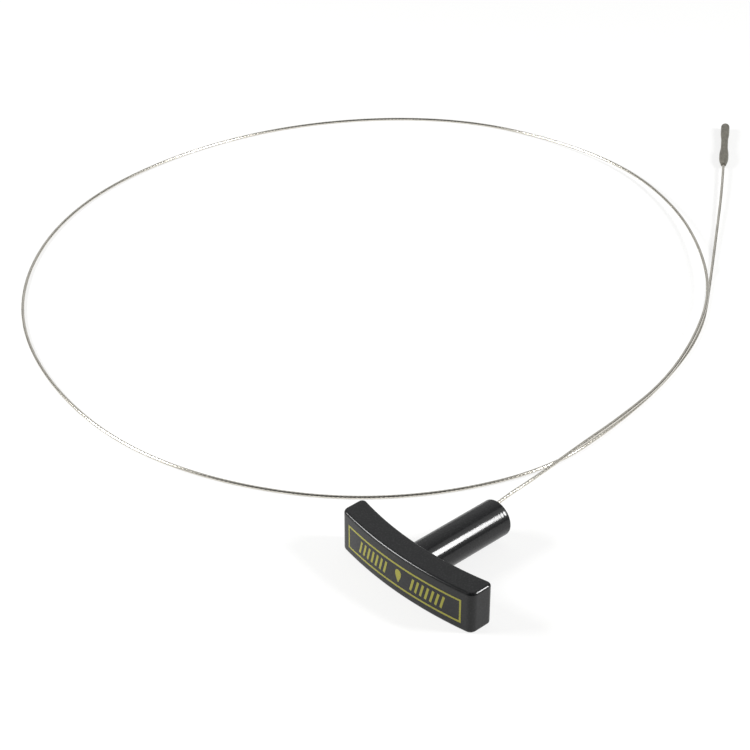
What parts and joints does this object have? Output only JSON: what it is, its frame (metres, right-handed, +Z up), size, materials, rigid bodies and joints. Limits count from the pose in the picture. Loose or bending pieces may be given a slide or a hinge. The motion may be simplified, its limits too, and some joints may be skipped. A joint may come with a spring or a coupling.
{
  "type": "engine oil dipstick",
  "caption": "Flexible engine oil dipstick: moulded T-handle with a hollow stem that caps the dipstick tube, and a long thin steel cable with a waisted level tip.",
  "frame": {"origin": "on the surface the handle lies on, under the middle of the handle's box, half way between the bar's front and the stem's mouth", "axes": "+X along the bar, +Y along the stem towards its mouth and the cable, +Z up"},
  "size_m": [0.3937, 0.4365, 0.0194],
  "materials": {
    "handle_plastic": "glossy moulded black nylon",
    "ferrule_brass": "plain turned brass, crimped",
    "seal_rubber": "matt black nitrile rubber",
    "cable_steel": "bright stranded stainless steel",
    "tip_zinc": "dull grey die-cast zinc",
    "print_yellow": "olive yellow printed ink"
  },
  "bodies": {
    "root": {"t_handle": "handle_plastic", "cable_ferrule": "ferrule_brass", "seal_washer": "seal_rubber", "cable": "cable_steel", "level_tip": "tip_zinc"}
  },
  "joints": []
}
